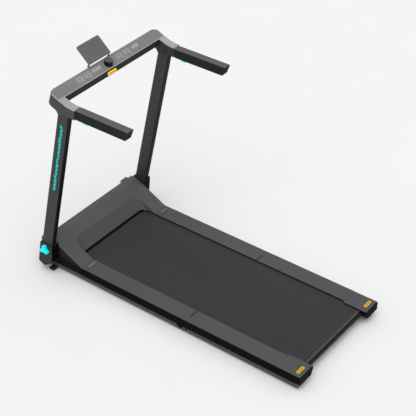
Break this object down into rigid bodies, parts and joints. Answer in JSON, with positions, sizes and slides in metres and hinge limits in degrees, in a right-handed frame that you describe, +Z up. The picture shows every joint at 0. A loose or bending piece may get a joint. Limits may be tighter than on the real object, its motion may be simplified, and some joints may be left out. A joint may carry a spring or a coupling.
{
  "type": "folding treadmill",
  "caption": "Folding treadmill with a low walking deck, raised motor hood, leaning posts, console bar with dial and phone rest, and two fold-down grips.",
  "frame": {"origin": "on the floor, at the middle of the overall width and length", "axes": "+X is the user's right, +Y is the way the user faces, from the deck's rear end to the hood, +Z is up"},
  "size_m": [0.746, 1.4619, 1.0919],
  "materials": {
    "deck_frame": "satin",
    "rail_plastic": "matte",
    "hood_plastic": "matte",
    "walking_belt": "matte",
    "deck_board": "satin",
    "cushion_rubber": "matte",
    "machined_steel": "satin",
    "motor_paint": "satin",
    "pulley_metal": "satin",
    "drive_rubber": "matte",
    "circuit": "satin",
    "socket_plastic": "satin",
    "post_paint": "satin",
    "boot_plastic": "matte",
    "console_plastic": "matte",
    "trim_plastic": "satin",
    "panel_plastic": "satin",
    "grip_rubber": "matte",
    "rest_plastic": "satin",
    "hinge_steel": "satin",
    "dial_plastic": "satin",
    "cyan_plastic": "gloss",
    "key_plastic": "gloss",
    "foot_rubber": "matte",
    "wheel_rubber": "matte"
  },
  "bodies": {
    "base": {"front_frame": "deck_frame", "front_deck_board": "deck_board", "front_cushions": "cushion_rubber", "running_belt_front": "walking_belt", "front_axle": "machined_steel", "motor": "motor_paint", "drive_belt": "drive_rubber", "controller": "circuit", "hood": "hood_plastic", "hood_screws": "machined_steel", "wheel_fenders": "hood_plastic", "wheel_axles": "machined_steel", "power_sockets": "socket_plastic", "fold_bumpers": "foot_rubber", "front_feet": "foot_rubber", "hinge_leaves_front": "hinge_steel", "hinge_pins": "hinge_steel", "pivot_bolts": "machined_steel", "front_rail_covers": "rail_plastic"},
    "front_roller_set": {"front_roller": "machined_steel", "front_bearings": "machined_steel", "roller_pulley": "pulley_metal"},
    "motor_rotor": {"motor_shaft": "machined_steel", "motor_pulley": "pulley_metal", "flywheel": "machined_steel"},
    "rear_deck": {"rear_frame": "deck_frame", "rear_deck_board": "deck_board", "rear_cushions": "cushion_rubber", "running_belt_rear": "walking_belt", "rear_axle": "machined_steel", "tension_bolts": "machined_steel", "rear_feet": "foot_rubber", "hinge_leaves_rear": "hinge_steel", "rear_rail_covers": "rail_plastic", "end_caps": "rail_plastic"},
    "rear_roller_set": {"rear_roller": "machined_steel", "rear_bearings": "machined_steel"},
    "upright": {"posts": "post_paint", "post_boots": "boot_plastic", "shoulder_brackets": "console_plastic", "shoulder_covers": "console_plastic", "console_housing": "console_plastic", "console_trim": "trim_plastic", "display_panel": "panel_plastic", "display_board": "circuit", "key_socket": "socket_plastic", "phone_rest_hinge": "socket_plastic", "grip_pins": "machined_steel"},
    "left_grip": {"grip_left": "grip_rubber"},
    "right_grip": {"grip_right": "grip_rubber"},
    "left_latch": {"grip_latch_left": "cyan_plastic"},
    "right_latch": {"grip_latch_right": "cyan_plastic"},
    "dial": {"speed_dial": "dial_plastic"},
    "key": {"safety_key": "key_plastic"},
    "phone_stand": {"phone_rest": "rest_plastic"},
    "left_knob": {"lock_knob_left": "cyan_plastic"},
    "right_knob": {"lock_knob_right": "cyan_plastic"},
    "left_wheel": {"transport_wheel_left": "wheel_rubber"},
    "right_wheel": {"transport_wheel_right": "wheel_rubber"},
    "rocker": {"power_rocker": "socket_plastic"}
  },
  "joints": [
    {"name": "deck_fold", "type": "hinge", "parent": "base", "child": "rear_deck", "pos_m": [0, -0.127, 0.0783], "axis": [-1, 0, 0], "range_deg": [0, 179.2]},
    {"name": "upright_fold", "type": "hinge", "parent": "base", "child": "upright", "pos_m": [0, 0.6538, 0.139], "axis": [1, 0, 0], "range_deg": [0, 77.6]},
    {"name": "left_grip_fold", "type": "hinge", "parent": "upright", "child": "left_grip", "pos_m": [-0.331, 0.4, 0.936], "axis": [1, 0, 0], "range_deg": [0, 102]},
    {"name": "right_grip_fold", "type": "hinge", "parent": "upright", "child": "right_grip", "pos_m": [0.331, 0.4, 0.936], "axis": [1, 0, 0], "range_deg": [0, 102]},
    {"name": "left_latch_press", "type": "slide", "parent": "left_grip", "child": "left_latch", "axis": [0, 0, 1], "range_m": [0, 0.004], "stiffness_N_per_m": 300, "springref_m": -0.003},
    {"name": "right_latch_press", "type": "slide", "parent": "right_grip", "child": "right_latch", "axis": [0, 0, 1], "range_m": [0, 0.004], "stiffness_N_per_m": 300, "springref_m": -0.003},
    {"name": "dial_turn", "type": "hinge", "parent": "upright", "child": "dial", "pos_m": [-0.007, 0.523, 1], "axis": [0, -0.2079, 0.9781], "continuous": true},
    {"name": "key_pull", "type": "slide", "parent": "upright", "child": "key", "axis": [0, -1, 0], "range_m": [0, 0.03]},
    {"name": "phone_stand_tilt", "type": "hinge", "parent": "upright", "child": "phone_stand", "pos_m": [-0.028, 0.55931, 1.0105], "axis": [1, 0, 0], "range_deg": [-110, 15]},
    {"name": "left_knob_turn", "type": "hinge", "parent": "base", "child": "left_knob", "pos_m": [-0.365, 0.6538, 0.139], "axis": [1, 0, 0], "range_deg": [0, 540]},
    {"name": "right_knob_turn", "type": "hinge", "parent": "base", "child": "right_knob", "pos_m": [0.365, 0.6538, 0.139], "axis": [1, 0, 0], "range_deg": [0, 540]},
    {"name": "left_wheel_spin", "type": "hinge", "parent": "base", "child": "left_wheel", "pos_m": [-0.281, 0.697, 0.03], "axis": [1, 0, 0], "continuous": true},
    {"name": "right_wheel_spin", "type": "hinge", "parent": "base", "child": "right_wheel", "pos_m": [0.281, 0.697, 0.03], "axis": [1, 0, 0], "continuous": true},
    {"name": "front_roller_spin", "type": "hinge", "parent": "base", "child": "front_roller_set", "pos_m": [0, 0.579, 0.0482], "axis": [1, 0, 0], "continuous": true},
    {"name": "rear_roller_spin", "type": "hinge", "parent": "rear_deck", "child": "rear_roller_set", "pos_m": [0, -0.681, 0.0482], "axis": [1, 0, 0], "continuous": true},
    {"name": "motor_spin", "type": "hinge", "parent": "base", "child": "motor_rotor", "pos_m": [0.1, 0.653, 0.074], "axis": [1, 0, 0], "continuous": true},
    {"name": "rocker_tilt", "type": "hinge", "parent": "base", "child": "rocker", "pos_m": [-0.167, 0.704, 0.072], "axis": [1, 0, 0], "range_deg": [0, 18]}
  ],
  "couplings": [
    {"joint": "rear_roller_spin", "follows": "front_roller_spin", "ratio": 1},
    {"joint": "motor_spin", "follows": "front_roller_spin", "ratio": 2.25}
  ]
}
